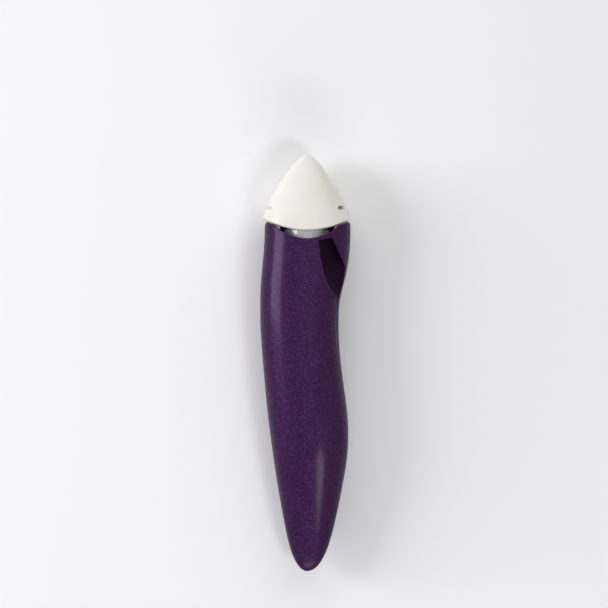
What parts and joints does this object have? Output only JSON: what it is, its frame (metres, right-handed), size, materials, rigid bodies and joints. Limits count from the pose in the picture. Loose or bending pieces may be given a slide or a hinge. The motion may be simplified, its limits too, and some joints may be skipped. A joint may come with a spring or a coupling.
{
  "type": "chalk wheel marker",
  "caption": "Hollow ergonomic handle with a pull-out chalk cartridge, a toothed marking wheel in its nose and a push-on cap.",
  "frame": {"origin": "middle of the small flat on the handle's back, on which the marker lies", "axes": "+Y along the handle towards the cap's tip, +X to the right seen from the front, +Z out of the front of the handle"},
  "size_m": [0.0243, 0.1094, 0.0182],
  "materials": {
    "handle_plastic": "pearl satin aubergine",
    "clear_tube": "clear plastic",
    "white_plastic": "satin white",
    "chalk": "matt powder",
    "wheel_metal": "brushed",
    "cap_plastic": "glossy cream white"
  },
  "bodies": {
    "handle": {"handle_front_shell": "handle_plastic", "handle_back_shell": "handle_plastic"},
    "cartridge": {"cartridge_tube": "clear_tube", "cartridge_end_plug": "white_plastic", "chalk_fill": "chalk", "nose_housing": "white_plastic", "wheel_axle": "white_plastic"},
    "wheel": {"toothed_wheel": "wheel_metal"},
    "cap": {"protective_cap": "cap_plastic"}
  },
  "joints": [
    {"name": "cartridge_pull", "type": "slide", "parent": "handle", "child": "cartridge", "axis": [0, 1, 0], "range_m": [0, 0.057]},
    {"name": "wheel_spin", "type": "hinge", "parent": "cartridge", "child": "wheel", "pos_m": [0, 0.03451, 0.00875], "axis": [0, 0, 1], "continuous": true},
    {"name": "cap_pull", "type": "slide", "parent": "cartridge", "child": "cap", "axis": [0, 1, 0], "range_m": [0, 0.02]}
  ]
}
